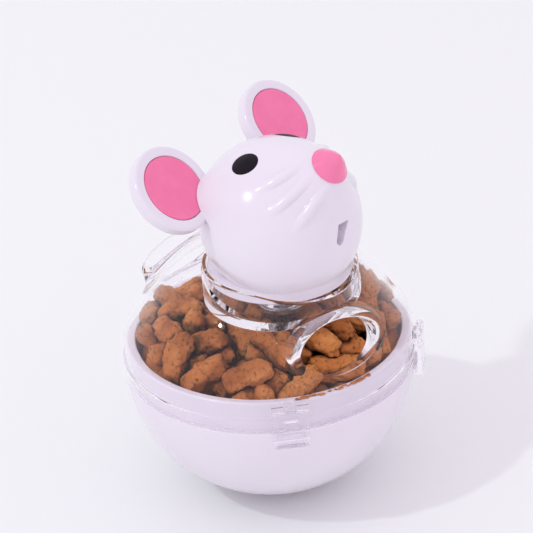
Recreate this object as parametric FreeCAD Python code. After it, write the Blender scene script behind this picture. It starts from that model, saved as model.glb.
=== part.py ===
import FreeCAD, Part
import math
import os

# Cat treat tumbler, an assembly of separate pieces.  All lengths in millimetres.
# Origin: the middle of the bowl's flat foot.  +Z is up.  The mouse looks towards -Y.
# An azimuth is counted from -Y towards +X, in degrees.

V = FreeCAD.Vector
UP = V(0, 0, 1)

# bowl
BOWL_R = 39.9
BOWL_CENTRE_Z = 39.5
BOWL_INNER_R = 37.8
LEDGE_Z = 37.9
RIM_OUTER_R = 38.1
RIM_INNER_R = 35.9
RIM_TOP_Z = 46.4
RIM_ROOT_R = 35.6
PAD_Z = 4.0
SOCKET_INNER_R = 16.0
SOCKET_OUTER_R = 17.6
SOCKET_TOP_Z = 9.0
BOSS_CIRCLE_R = 23.0
BOSS_R = 3.2
BOSS_AZIMUTHS = (30.0, 150.0, 270.0)

# weight and the floor over it
WEIGHT_R = 15.6
WEIGHT_FOOT_R = 12.6
WEIGHT_TOP_Z = 13.4
FLOOR_Z = 17.0
FLOOR_T = 1.8
FLOOR_SCREW_R = 1.25
FLOOR_SCREW_LENGTH = 7.0

# cover
SKIRT_Z = 38.2
SKIRT_R = 40.0
SKIRT_STEP_Z = 41.9
BAND_R = 39.5
SKIRT_BORE_R = 38.4
CONE_R = 29.4
CONE_Z = 62.0
CONE_SLOPE = 0.74
CROWN_TANGENT_R = 31.8
COVER_WALL = 1.6
SHOULDER_R = 6.0
COLLAR_AZIMUTH = -20.6
COLLAR_OFFSET = 8.0
COLLAR_OUTER_R = 20.8
COLLAR_INNER_R = 19.6
COLLAR_TOP_Z = 71.5
WEB_Z = 61.0
WEB_TOP_Z = 62.5
HUB_R = 6.4
HUB_Z = 58.5
PIVOT_BORE_R = 4.0

# outlets: middle of the lip's plane, tilt of its normal, half axes
OUTLET_AZIMUTHS = (-21.4, 169.4)
OUTLET_RHO = 35.7
OUTLET_Z = 57.9
OUTLET_TILT = 17.0
OUTLET_HOLE = (11.6, 6.5)
OUTLET_LIP = (14.0, 7.9)
OUTLET_FOOT = (16.6, 9.4)
OUTLET_FOOT_DEPTH = 10.0
OUTLET_LIP_ROUND = 0.7

# clips
LATCHES = (("front", -46.5), ("side", 28.1), ("rear", 170.8))
LATCH_W = 9.6
PIN_RHO = 41.0
PIN_Z = 45.8
PIN_R = 0.6
KNUCKLE_R = 1.2
LUG_W = 3.0
STRAP_RHO = 41.0
STRAP_T = 1.1
LATCH_FOOT_Z = 34.8
WINDOW_Z = 42.2
CATCH_W = 7.6
CATCH_R = 40.7
CATCH_Z = (36.2, 37.5)

# head: a ball with a snout, face axis pitched up
HEAD_Z = 83.0
HEAD_R = 22.4
HEAD_INNER_R = 20.6
HEAD_PITCH = 42.0
SNOUT_PITCH = 49.0
HEAD_SPLIT = 0.1
HEAD_FOOT_Z = 62.9
NOSE_SEAT = 26.6
NOSE_SEAT_R = 4.9
NOSE_TIP = 32.2
NOSE_TIP_R = 2.5
EAR_DISTANCE = 31.9
EAR_ANGLE = 46.9
EAR_R = 11.95
EAR_T = 4.4
EAR_PAD_R = 8.95
EAR_ROOT_R = 24.5
EYE_POS = (9.3, 16.2, 11.6)
EYE_R = 3.65
MOUTH_FLOOR = 19.2
JOURNAL_R = 3.93
JOURNAL_END_Z = 58.2
WASHER_R = 7.0
WASHER_T = 1.0


def direction(azimuth):
    """Unit vector in plan for an azimuth counted from -Y towards +X."""
    a = math.radians(azimuth)
    return V(math.sin(a), -math.cos(a), 0)


NECK = direction(COLLAR_AZIMUTH) * COLLAR_OFFSET
HEAD_CENTRE = V(NECK.x, NECK.y, HEAD_Z)


def revolve(points):
    """Solid turned about Z from (r, z) points; a triple (r, z, 'arc') is the middle of an arc."""
    edges = []
    pts = list(points) + [points[0]]
    i = 0
    while i < len(pts) - 1:
        p = V(pts[i][0], 0, pts[i][1])
        if len(pts[i + 1]) == 3:
            m = V(pts[i + 1][0], 0, pts[i + 1][1])
            q = V(pts[i + 2][0], 0, pts[i + 2][1])
            edges.append(Part.Arc(p, m, q).toShape())
            i += 2
        else:
            q = V(pts[i + 1][0], 0, pts[i + 1][1])
            if p.distanceToPoint(q) > 1e-6:
                edges.append(Part.makeLine(p, q))
            i += 1
    face = Part.Face(Part.Wire(edges))
    return face.revolve(V(0, 0, 0), UP, 360)


def cylinder(r, z0, z1, centre=V(0, 0, 0)):
    """Upright cylinder between two heights."""
    return Part.makeCylinder(r, z1 - z0, V(centre.x, centre.y, z0))


def ring(r_out, r_in, z0, z1, centre=V(0, 0, 0)):
    """Upright tube between two heights."""
    return cylinder(r_out, z0, z1, centre).cut(cylinder(r_in, z0 - 1, z1 + 1, centre))


def turned(shape, azimuth):
    """Copy of a shape made at azimuth 0, turned about Z to another azimuth."""
    s = shape.copy()
    s.rotate(V(0, 0, 0), UP, azimuth)
    return s


def along(shape, origin, axis, x_hint=V(1, 0, 0)):
    """Place a shape whose own axis is Z at a point, with Z along axis and X near x_hint."""
    z = V(axis)
    z.normalize()
    x = x_hint - z * x_hint.dot(z)
    x.normalize()
    y = z.cross(x)
    m = FreeCAD.Matrix(x.x, y.x, z.x, origin.x, x.y, y.y, z.y, origin.y,
                       x.z, y.z, z.z, origin.z, 0, 0, 0, 1)
    s = shape.copy()
    s.transformShape(m, True)
    return s


def screw(shank_r, length, head_r, head_h):
    """Pan-head screw: head on the Z = 0 plane going down, shank going up, cross recess."""
    head = revolve([(0, 0), (head_r, 0), (head_r * 0.93, -head_h * 0.75, "arc"),
                    (head_r * 0.55, -head_h), (0, -head_h)])
    shank = revolve([(0, -0.1), (shank_r, -0.1), (shank_r, length - shank_r), (0, length)])
    body = head.fuse(shank)
    for angle in (0, 90):
        slot = Part.makeBox(head_r * 1.1, 0.5, head_h, V(-head_r * 0.55, -0.25, -head_h - head_h * 0.45))
        slot.rotate(V(0, 0, 0), UP, angle)
        body = body.cut(slot)
    return body.removeSplitter()


def sphere_r(radius, z, centre_z):
    """Radius of a ball's section at a height."""
    return math.sqrt(radius ** 2 - (z - centre_z) ** 2)


def sphere_z(radius, r, centre_z, side):
    """Height on a ball at a radius; side is -1 for its lower half."""
    return centre_z + side * math.sqrt(radius ** 2 - r ** 2)


def bowl():
    """White shell: ball outside, flat foot, ledge and rim for the cover."""
    foot_r = sphere_r(BOWL_R, 0, BOWL_CENTRE_Z)
    ledge_r = sphere_r(BOWL_R, LEDGE_Z, BOWL_CENTRE_Z)
    mid_r = BOWL_R * math.sin(math.radians(50))
    mid_z = BOWL_CENTRE_Z - BOWL_R * math.cos(math.radians(50))
    outer = revolve([(0, 0), (foot_r, 0), (mid_r, mid_z, "arc"), (ledge_r, LEDGE_Z),
                     (RIM_OUTER_R, LEDGE_Z), (RIM_OUTER_R, RIM_TOP_Z - 0.6),
                     (RIM_OUTER_R - 0.6, RIM_TOP_Z), (RIM_INNER_R + 0.4, RIM_TOP_Z),
                     (RIM_INNER_R, RIM_TOP_Z - 0.4), (0, RIM_TOP_Z - 0.4)])
    pad_r = sphere_r(BOWL_INNER_R, PAD_Z, BOWL_CENTRE_Z)
    root_z = sphere_z(BOWL_INNER_R, RIM_ROOT_R, BOWL_CENTRE_Z, -1)
    a0 = math.atan2(pad_r, BOWL_CENTRE_Z - PAD_Z)
    a1 = math.atan2(RIM_ROOT_R, BOWL_CENTRE_Z - root_z)
    am = (a0 + a1) / 2
    inner = revolve([(0, PAD_Z), (pad_r, PAD_Z),
                     (BOWL_INNER_R * math.sin(am), BOWL_CENTRE_Z - BOWL_INNER_R * math.cos(am), "arc"),
                     (RIM_ROOT_R, root_z), (RIM_INNER_R, RIM_TOP_Z), (0, RIM_TOP_Z)])
    shell = outer.cut(inner)
    ball = Part.makeSphere(BOWL_R - 0.8, V(0, 0, BOWL_CENTRE_Z))
    extras = [ring(SOCKET_OUTER_R, SOCKET_INNER_R, 2.0, SOCKET_TOP_Z)]
    bores = []
    for azimuth in BOSS_AZIMUTHS:
        c = direction(azimuth) * BOSS_CIRCLE_R
        extras.append(cylinder(BOSS_R, 3.0, FLOOR_Z, c))
        bores.append(cylinder(FLOOR_SCREW_R, FLOOR_Z + FLOOR_T - FLOOR_SCREW_LENGTH - 0.6, FLOOR_Z + 1, c))
    for e in extras:
        shell = shell.fuse(e.common(ball))
    for _, azimuth in LATCHES:
        block = Part.makeBox(CATCH_W, 4.0, CATCH_Z[1] - CATCH_Z[0],
                             V(-CATCH_W / 2, -CATCH_R - 1, CATCH_Z[0]))
        block = block.common(ring(CATCH_R, 38.6, CATCH_Z[0] - 1, CATCH_Z[1] + 1))
        shell = shell.fuse(turned(block, azimuth))
    for b in bores:
        shell = shell.cut(b)
    return shell.removeSplitter()


def counterweight():
    """Steel slug that stands on the bowl's inner pad inside the socket ring."""
    return revolve([(0, PAD_Z), (WEIGHT_FOOT_R, PAD_Z), (WEIGHT_R, PAD_Z + 2.4),
                    (WEIGHT_R, WEIGHT_TOP_Z - 1.2), (WEIGHT_R - 0.35, WEIGHT_TOP_Z - 0.35, "arc"),
                    (WEIGHT_R - 1.2, WEIGHT_TOP_Z), (3.0, WEIGHT_TOP_Z), (2.4, WEIGHT_TOP_Z - 0.6),
                    (0, WEIGHT_TOP_Z - 0.6)])


def inner_floor():
    """Plate over the weight, with a ring that presses the weight down."""
    top_r = sphere_r(BOWL_INNER_R, FLOOR_Z, BOWL_CENTRE_Z) - 0.25
    plate = revolve([(0, FLOOR_Z), (top_r, FLOOR_Z), (top_r + 0.7, FLOOR_Z + FLOOR_T),
                     (top_r - 1.4, FLOOR_Z + FLOOR_T), (0, FLOOR_Z + FLOOR_T)])
    plate = plate.fuse(ring(10.0, 8.4, WEIGHT_TOP_Z, FLOOR_Z + 0.5))
    for azimuth in (0, 60, 120):
        rib = Part.makeBox(17.0, 1.2, FLOOR_Z - WEIGHT_TOP_Z - 1.0, V(-8.5, -0.6, WEIGHT_TOP_Z + 1.2))
        plate = plate.fuse(turned(rib, azimuth))
    for azimuth in BOSS_AZIMUTHS:
        c = direction(azimuth) * BOSS_CIRCLE_R
        plate = plate.cut(cylinder(FLOOR_SCREW_R + 0.2, FLOOR_Z - 1, FLOOR_Z + FLOOR_T + 1, c))
    return plate.removeSplitter()


def floor_screws():
    """Three identical pan-head screws, heads on the plate, points down in the bosses."""
    solids = []
    for azimuth in BOSS_AZIMUTHS:
        c = direction(azimuth) * BOSS_CIRCLE_R
        s = screw(FLOOR_SCREW_R, FLOOR_SCREW_LENGTH, 2.7, 1.7)
        solids.append(along(s, V(c.x, c.y, FLOOR_Z + FLOOR_T), V(0, 0, -1)))
    return Part.makeCompound(solids)


def crown():
    """Radius and centre height of the ball that caps the cover, tangent to its cone."""
    slope = math.atan(CONE_SLOPE)
    radius = CROWN_TANGENT_R / math.cos(slope)
    tangent_z = CONE_Z - (CROWN_TANGENT_R - CONE_R) / CONE_SLOPE
    return radius, tangent_z - radius * math.sin(slope), tangent_z


def shoulder(r_band, offset, radius):
    """Arc that joins the upright band to the cone: start, middle and end as (r, z)."""
    slope = math.atan(CONE_SLOPE)
    corner_z = CONE_Z - (r_band - (CONE_R - offset / math.cos(slope))) / CONE_SLOPE
    reach = radius * math.tan(slope / 2)
    cr = r_band - radius
    cz = corner_z - reach
    mid = (cr + radius * math.cos(slope / 2), cz + radius * math.sin(slope / 2), "arc")
    end = (cr + radius * math.cos(slope), cz + radius * math.sin(slope))
    return (r_band, cz), mid, end


def dome_profile(offset, r_band, radius):
    """Points of the dome from its upright band to the axis, moved inwards by offset."""
    big_r, cz, tangent_z = crown()
    slope = math.atan(CONE_SLOPE)
    start, mid, end = shoulder(r_band, offset, radius)
    r = big_r - offset
    t = (r * math.cos(slope), cz + r * math.sin(slope))
    m = (r * math.cos((slope + math.pi / 2) / 2), cz + r * math.sin((slope + math.pi / 2) / 2), "arc")
    return [start, mid, end, t, m, (0, cz + r)]


def oval(a, b):
    """Closed oval wire about the origin in the XY plane, long half axis along X."""
    return Part.Wire([Part.Ellipse(V(0, 0, 0), a, b).toShape()])


def oval_loft(sizes):
    """Solid through ovals given as (height, long half axis, short half axis)."""
    wires = []
    for z, a, b in sizes:
        w = oval(a, b)
        w.translate(V(0, 0, z))
        wires.append(w)
    return Part.makeLoft(wires, True, True)


def outlet_frame(azimuth):
    """Middle of an outlet's lip, its outward normal and its level direction."""
    out = direction(azimuth)
    t = math.radians(OUTLET_TILT)
    normal = V(out.x * math.cos(t), out.y * math.cos(t), math.sin(t))
    level = UP.cross(out)
    return V(out.x * OUTLET_RHO, out.y * OUTLET_RHO, OUTLET_Z), normal, level


def cover():
    """Clear moulding: stepped skirt, cone, crown, two outlets, collar with a web, clip lugs."""
    outside = revolve([(0, SKIRT_Z), (SKIRT_R - 0.3, SKIRT_Z), (SKIRT_R, SKIRT_Z + 0.3),
                       (SKIRT_R, SKIRT_STEP_Z), (BAND_R, SKIRT_STEP_Z + 0.3)]
                      + dome_profile(0, BAND_R, SHOULDER_R))
    cavity = revolve([(0, SKIRT_Z - 1), (SKIRT_BORE_R, SKIRT_Z - 1)]
                     + dome_profile(COVER_WALL, SKIRT_BORE_R, SHOULDER_R - COVER_WALL))
    body = outside
    holes = []
    la, lb = OUTLET_LIP
    fa, fb = OUTLET_FOOT
    ha, hb = OUTLET_HOLE
    depth = OUTLET_FOOT_DEPTH
    step = OUTLET_LIP_ROUND
    for azimuth in OUTLET_AZIMUTHS:
        middle, normal, level = outlet_frame(azimuth)
        boss = oval_loft([(-depth, fa, fb), (-step, la, lb), (-step * 0.3, la - step * 0.3, lb - step * 0.3),
                          (0, la - step, lb - step)])
        hole = oval_loft([(-depth - 2, ha + 1.2, hb), (-step, ha, hb), (1.0, ha + 1.4, hb + 1.4)])
        body = body.fuse(along(boss, middle, normal, level))
        holes.append(along(hole, middle, normal, level))
    body = body.cut(cavity)
    for hole in holes:
        body = body.cut(hole)
    body = body.fuse(cylinder(COLLAR_OUTER_R, WEB_Z, COLLAR_TOP_Z, NECK))
    body = body.fuse(cylinder(HUB_R, HUB_Z, WEB_TOP_Z, NECK))
    body = body.cut(Part.makeBox(120, 120, 20, V(-60, -60, COLLAR_TOP_Z)))
    well = revolve([(0, WEB_TOP_Z), (COLLAR_INNER_R - 1.0, WEB_TOP_Z), (COLLAR_INNER_R, WEB_TOP_Z + 1.0),
                    (COLLAR_INNER_R, COLLAR_TOP_Z - 0.4), (COLLAR_INNER_R + 0.5, COLLAR_TOP_Z + 0.1),
                    (0, COLLAR_TOP_Z + 0.1)])
    well.translate(NECK)
    body = body.cut(well)
    body = body.cut(cylinder(PIVOT_BORE_R, HUB_Z - 1, WEB_TOP_Z + 1, NECK))
    for _, azimuth in LATCHES:
        body = body.fuse(turned(cover_lug(), azimuth))
        body = body.cut(turned(pin_solid(0.0, LUG_W + 2), azimuth))
    return body.removeSplitter()


def pin_solid(extra, length):
    """Hinge pin of a clip at azimuth 0, its radius grown by extra."""
    return Part.makeCylinder(PIN_R + extra, length, V(-length / 2, -PIN_RHO, PIN_Z), V(1, 0, 0))


def cover_lug():
    """Lug on the cover's band that carries a clip's pin, at azimuth 0."""
    barrel = Part.makeCylinder(KNUCKLE_R, LUG_W, V(-LUG_W / 2, -PIN_RHO, PIN_Z), V(1, 0, 0))
    root = Part.makeBox(LUG_W, PIN_RHO - BAND_R + 0.6, 2 * KNUCKLE_R,
                        V(-LUG_W / 2, -PIN_RHO, PIN_Z - KNUCKLE_R))
    return barrel.fuse(root)


def latch():
    """Clear flip clip at azimuth 0: two knuckles, strap with a window, hook and finger tongue."""
    w = LATCH_W / 2
    inner = -STRAP_RHO
    outer = -STRAP_RHO - STRAP_T
    ledge = CATCH_Z[0] - 0.3
    foot = LATCH_FOOT_Z
    pts = [(inner, PIN_Z), (outer, PIN_Z), (outer, ledge + 1.0), (outer - 0.25, ledge),
           (outer - 0.25, foot + 0.7), (outer - 0.6, foot + 0.1), (outer - 0.3, foot),
           (outer + 0.5, foot + 0.2), (-40.35, foot + 0.2), (-40.2, foot + 0.35),
           (-40.2, ledge - 0.15), (-40.35, ledge), (inner, ledge)]
    wire = Part.makePolygon([V(-w, y, z) for y, z in pts] + [V(-w, pts[0][0], pts[0][1])])
    body = Part.Face(wire).extrude(V(LATCH_W, 0, 0))
    barrel = Part.makeCylinder(KNUCKLE_R, LATCH_W, V(-w, -PIN_RHO, PIN_Z), V(1, 0, 0))
    body = body.fuse(barrel)
    gap = LUG_W + 0.6
    body = body.cut(Part.makeBox(gap, 8, 12, V(-gap / 2, -PIN_RHO - 4, WINDOW_Z)))
    body = body.cut(pin_solid(0.05, LATCH_W + 2))
    r = 1.3
    low = LATCH_FOOT_Z - 0.1
    k = r * 0.293
    corners = [Part.makeLine(V(-w, 0, PIN_Z + 3), V(-w, 0, low + r)),
               Part.Arc(V(-w, 0, low + r), V(-w + k, 0, low + k), V(-w + r, 0, low)).toShape(),
               Part.makeLine(V(-w + r, 0, low), V(w - r, 0, low)),
               Part.Arc(V(w - r, 0, low), V(w - k, 0, low + k), V(w, 0, low + r)).toShape(),
               Part.makeLine(V(w, 0, low + r), V(w, 0, PIN_Z + 3)),
               Part.makeLine(V(w, 0, PIN_Z + 3), V(-w, 0, PIN_Z + 3))]
    outline = Part.Face(Part.Wire(corners)).extrude(V(0, -60, 0))
    body = body.common(outline)
    return body.removeSplitter()


def latch_pins():
    """Three identical hinge pins."""
    return Part.makeCompound([turned(pin_solid(0.0, LATCH_W - 0.4), a) for _, a in LATCHES])


def head_frame(shape):
    """Take a shape from the face frame (X left ear, Y crown, Z face axis) to its place."""
    s = shape.copy()
    s.rotate(V(0, 0, 0), V(1, 0, 0), 90 - HEAD_PITCH)
    s.translate(HEAD_CENTRE)
    return s


def snout_angle():
    """Angle from the snout axis at which the snout's cone leaves the ball."""
    reach = math.hypot(NOSE_SEAT, NOSE_SEAT_R)
    return math.atan2(NOSE_SEAT_R, NOSE_SEAT) + math.acos(HEAD_R / reach)


def to_snout(shape):
    """Tilt a shape made about Z so that Z becomes the snout axis in the face frame."""
    s = shape.copy()
    s.rotate(V(0, 0, 0), V(1, 0, 0), -(SNOUT_PITCH - HEAD_PITCH))
    return s


def snout_axis():
    """Direction of the snout in the face frame."""
    a = math.radians(SNOUT_PITCH - HEAD_PITCH)
    return V(0, math.sin(a), math.cos(a))


def head_skin(vector):
    """Point of the head's outer surface in a direction of the face frame."""
    d = V(vector)
    d.normalize()
    angle = d.getAngle(snout_axis())
    edge = snout_angle()
    if angle >= edge:
        return d * HEAD_R
    return d * (HEAD_R / math.cos(edge - angle))


def head_ball():
    """Outer form of the head in the face frame: ball, snout cone and the nose's flat seat."""
    a = snout_angle()
    return to_snout(revolve([(0, -HEAD_R), (HEAD_R, 0, "arc"), (HEAD_R * math.sin(a), HEAD_R * math.cos(a)),
                             (NOSE_SEAT_R, NOSE_SEAT), (0, NOSE_SEAT)]))


def slab(z0, z1):
    """Wide block between two distances along the face axis."""
    return Part.makeBox(120, 120, z1 - z0, V(-60, -60, z0))


def ear_centres():
    """Middle of each ear in the face frame, the mouse's left ear first."""
    a = math.radians(EAR_ANGLE)
    x = EAR_DISTANCE * math.sin(a)
    y = EAR_DISTANCE * math.cos(a)
    return (V(x, y, 0), V(-x, y, 0))


WHISKERS = (((3.4, 6.6, 20.8), (9.3, 7.5, 18.5), (13.8, 9.0, 14.9)),
            ((3.4, 3.3, 21.5), (10.9, 2.5, 18.9), (16.3, 2.3, 14.8)),
            ((2.9, -0.3, 21.8), (8.9, -2.8, 19.9), (13.5, -5.0, 16.6)))


def whisker(points, side):
    """Soft ridge on a cheek: a round bar along an arc, its ends under the skin."""
    radius = 1.5
    sunk = (2.0, 0.5, 1.9)
    spine = []
    for p, depth in zip(points, sunk):
        s = head_skin(V(p[0] * side, p[1], p[2]))
        d = V(s)
        d.normalize()
        spine.append(s - d * depth)
    arc = Part.Arc(*spine)
    edge = arc.toShape()
    start = edge.valueAt(edge.FirstParameter)
    tangent = edge.tangentAt(edge.FirstParameter)
    circle = Part.Wire([Part.Circle(start, tangent, radius).toShape()])
    bar = Part.Wire([edge]).makePipeShell([circle], True, True)
    for p in (spine[0], spine[2]):
        bar = bar.fuse(Part.makeSphere(radius, p))
    return bar


SCREW_POSTS = ((12.5, 5.0), (-12.5, 5.0))
POST_R = 3.2
HEAD_SCREW_R = 1.25
HEAD_SCREW_SEAT = -11.0
HEAD_SCREW_LENGTH = 17.0


def post(x, y, r, z0, z1):
    """Round bar along the face axis."""
    return Part.makeCylinder(r, z1 - z0, V(x, y, z0))


def eye_solid():
    """Black eye about Z: flange in the recess, nearly flat dome, peg through the shell."""
    r = EYE_R - 0.05
    edge_z = 22.05
    rise = 0.55
    ball_r = (r * r + rise * rise) / (2 * rise)
    centre_z = edge_z + rise - ball_r
    half = math.asin(r / ball_r) / 2
    return revolve([(0, 19.2), (1.2, 19.2), (1.2, 21.6), (r, 21.6), (r, edge_z),
                    (ball_r * math.sin(half), centre_z + ball_r * math.cos(half), "arc"),
                    (0, edge_z + rise)])


def eye_at(side):
    """Direction of an eye in the face frame."""
    return V(EYE_POS[0] * side, EYE_POS[1], EYE_POS[2])


def head_front():
    """White face shell: snout, whisker ridges, ear-root fairings, mouth groove, recesses."""
    body = head_ball().common(slab(HEAD_SPLIT, 60))
    for side in (1, -1):
        for points in WHISKERS:
            body = body.fuse(whisker(points, side))
    ramp = revolve([(20.5, HEAD_SPLIT), (EAR_ROOT_R, HEAD_SPLIT), (EAR_ROOT_R - 0.15, HEAD_SPLIT + 0.4),
                    (22.75, 1.5, "arc"), (21.75, 4.6), (20.5, 4.6)])
    for c in ear_centres():
        body = body.fuse(ramp.common(Part.makeCylinder(EAR_R - 0.6, 8, V(c.x, c.y, HEAD_SPLIT))))
    cavity = Part.makeSphere(HEAD_INNER_R)
    body = body.cut(cavity)
    spigot = revolve([(18.8, -2.8), (19.9, -2.8), (20.12, -2.4), (20.12, HEAD_SPLIT), (20.4, HEAD_SPLIT),
                      (20.4, 3.5), (18.8, 2.0)])
    body = body.fuse(spigot)
    inside = Part.makeSphere(HEAD_R - 0.6)
    for x, y in SCREW_POSTS:
        body = body.fuse(post(x, y, POST_R, HEAD_SPLIT, 22).common(inside))
        body = body.cut(post(x, y, HEAD_SCREW_R, HEAD_SPLIT - 1, HEAD_SCREW_SEAT + HEAD_SCREW_LENGTH + 0.6))
    for side in (1, -1):
        d = eye_at(side)
        recess = Part.makeCylinder(EYE_R, 6, V(0, 0, 21.6)).fuse(Part.makeCylinder(1.25, 8, V(0, 0, 16)))
        body = body.cut(along(recess, V(0, 0, 0), d))
    body = body.cut(to_snout(Part.makeCylinder(1.55, 6.5, V(0, 0, NOSE_SEAT - 6))))
    backing, groove = mouth()
    body = body.fuse(backing).cut(groove)
    body = body.cut(slab(-20, -3.0))
    return head_frame(body).removeSplitter()


def mouth():
    """Mouth under the snout: a blind groove, a little askew, and the boss behind its floor."""
    pts = [V(-1.0, 2.75, 0), V(-2.4, -1.8, 0), V(0.0, -2.5, 0), V(1.15, -0.2, 0), V(3.2, 2.45, 0)]
    edges = [Part.makeLine(pts[0], pts[1]), Part.Arc(pts[1], V(-1.35, -3.2, 0), pts[2]).toShape(),
             Part.makeLine(pts[2], pts[3]), Part.makeLine(pts[3], pts[4]), Part.makeLine(pts[4], pts[0])]
    groove = Part.Face(Part.Wire(edges)).extrude(V(0, 0, 8))
    backing = Part.makeCylinder(4.4, 3.4, V(0, 0, -1.3))
    d = V(-2.1, -12.47, 18.49)
    d.normalize()
    return along(backing, d * MOUTH_FLOOR, d), along(groove, d * MOUTH_FLOOR, d)


def head_back():
    """White back shell with both ears, floor, pivot and screw sockets."""
    ball = head_ball()
    body = ball.common(slab(-60, HEAD_SPLIT))
    r = EAR_R
    back = HEAD_SPLIT - EAR_T
    ear = revolve([(0, back - 0.5), (r * 0.55, back - 0.35), (r - 1.3, back + 0.1),
                   (r - 0.2, back + 0.7, "arc"), (r, back + 1.7), (r, HEAD_SPLIT - 0.8),
                   (r - 0.25, HEAD_SPLIT - 0.25, "arc"),
                   (r - 0.8, HEAD_SPLIT), (EAR_PAD_R + 0.6, HEAD_SPLIT),
                   (EAR_PAD_R + 0.1, HEAD_SPLIT - 0.35), (EAR_PAD_R + 0.1, HEAD_SPLIT - 1.3),
                   (0, HEAD_SPLIT - 1.3)])
    for c in ear_centres():
        e = ear.copy()
        e.translate(c)
        body = body.fuse(e)
    body = body.cut(Part.makeSphere(HEAD_INNER_R))
    inside = Part.makeSphere(HEAD_R - 0.6)
    for x, y in SCREW_POSTS:
        body = body.fuse(post(x, y, POST_R + 0.8, -22, HEAD_SPLIT).common(inside))
    seat_cut = []
    for x, y in SCREW_POSTS:
        seat_cut.append(post(x, y, HEAD_SCREW_R + 0.2, -30, 1))
        seat_cut.append(post(x, y, 3.0, -30, HEAD_SCREW_SEAT))
    for s in seat_cut:
        body = body.cut(s)
    body = body.cut(revolve([(18.6, -3.0), (20.14, -3.0), (20.14, 0.5), (18.6, 0.5)]))
    body = head_frame(body)
    ball = head_frame(ball)
    floor = ball.common(Part.makeBox(80, 80, 1.8, V(-40, -40, HEAD_FOOT_Z)))
    body = body.cut(Part.makeBox(80, 80, 40, V(-40, -40, HEAD_FOOT_Z - 40)))
    body = body.fuse(floor)
    body = body.fuse(cylinder(4.6, HEAD_FOOT_Z, 70.0, NECK))
    body = body.fuse(cylinder(JOURNAL_R, JOURNAL_END_Z, HEAD_FOOT_Z + 0.5, NECK))
    body = body.cut(cylinder(HEAD_SCREW_R, JOURNAL_END_Z - 1, 69.0, NECK))
    return body.removeSplitter()


def ear_pads():
    """Pink discs in the ears, the mouse's left one first."""
    r = EAR_PAD_R
    base = HEAD_SPLIT - 1.3
    pad = revolve([(0, base), (r, base), (r, base + 0.95), (r - 0.25, base + 1.2), (0, base + 1.2)])
    out = []
    for c in ear_centres():
        p = pad.copy()
        p.translate(c)
        out.append(head_frame(p))
    return out


def nose_cone():
    """Pink nose: a blunt cone on the snout's seat with a peg."""
    reach = NOSE_TIP - NOSE_TIP_R
    slant = math.hypot(reach - NOSE_SEAT - 0.6, NOSE_SEAT_R - NOSE_TIP_R)
    half = math.asin((NOSE_SEAT_R - 0.3 - NOSE_TIP_R) / slant)
    tr = NOSE_TIP_R * math.cos(half)
    tz = reach + NOSE_TIP_R * math.sin(half)
    m = (half + math.pi / 2) / 2
    body = revolve([(0, NOSE_SEAT - 5.5), (1.5, NOSE_SEAT - 5.5), (1.5, NOSE_SEAT), (NOSE_SEAT_R, NOSE_SEAT),
                    (NOSE_SEAT_R, NOSE_SEAT + 0.5), (tr, tz),
                    (NOSE_TIP_R * math.cos(m), reach + NOSE_TIP_R * math.sin(m), "arc"), (0, NOSE_TIP)])
    return head_frame(to_snout(body))


def head_screws():
    """Two identical screws that draw the back shell onto the face shell."""
    solids = []
    for x, y in SCREW_POSTS:
        s = screw(HEAD_SCREW_R, HEAD_SCREW_LENGTH, 2.6, 1.7)
        s.translate(V(x, y, HEAD_SCREW_SEAT))
        solids.append(head_frame(s))
    return Part.makeCompound(solids)


def eye(side):
    """One eye in its place."""
    return head_frame(along(eye_solid(), V(0, 0, 0), eye_at(side)))


def pivot_washer():
    """Washer on the end of the head's journal, under the collar's hub."""
    w = ring(WASHER_R, HEAD_SCREW_R + 0.2, JOURNAL_END_Z - WASHER_T, JOURNAL_END_Z, NECK)
    return w


def pivot_screw():
    """Screw up into the head's post."""
    s = screw(HEAD_SCREW_R, 10.5, 2.8, 1.8)
    s.translate(V(NECK.x, NECK.y, JOURNAL_END_Z - WASHER_T))
    return s


def main():
    """Make every piece and write one STEP file per node."""
    os.makedirs("parts", exist_ok=True)
    pads = ear_pads()
    nodes = {"bowl": bowl(), "counterweight": counterweight(), "inner_floor": inner_floor(),
             "floor_screws": floor_screws(), "cover": cover(), "latch_pins": latch_pins(),
             "head_front": head_front(), "head_back": head_back(), "ear_pad_left": pads[0],
             "ear_pad_right": pads[1], "eye_left": eye(1), "eye_right": eye(-1), "nose_cone": nose_cone(),
             "head_screws": head_screws(), "pivot_washer": pivot_washer(), "pivot_screw": pivot_screw()}
    for name, azimuth in LATCHES:
        nodes["latch_" + name] = turned(latch(), azimuth)
    for name, shape in nodes.items():
        solids = shape.Solids
        print(name, "solids", len(solids), "volume", round(shape.Volume, 1), "valid", shape.isValid())
        if len(solids) == 1:
            shape = solids[0]
        else:
            shape = Part.makeCompound(solids)
        shape.exportStep("parts/" + name + ".step")


main()
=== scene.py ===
# %% [markdown]
# A cat treat tumbler: a white bowl with a weight low down, a clear cover that three clips hold, and a
# mouse head that turns in the cover's collar. The construction comes in as a fixed frame, so every
# size here is a real one, in millimetres, and each new piece is laid exactly where the frame has it.

import math

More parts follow.
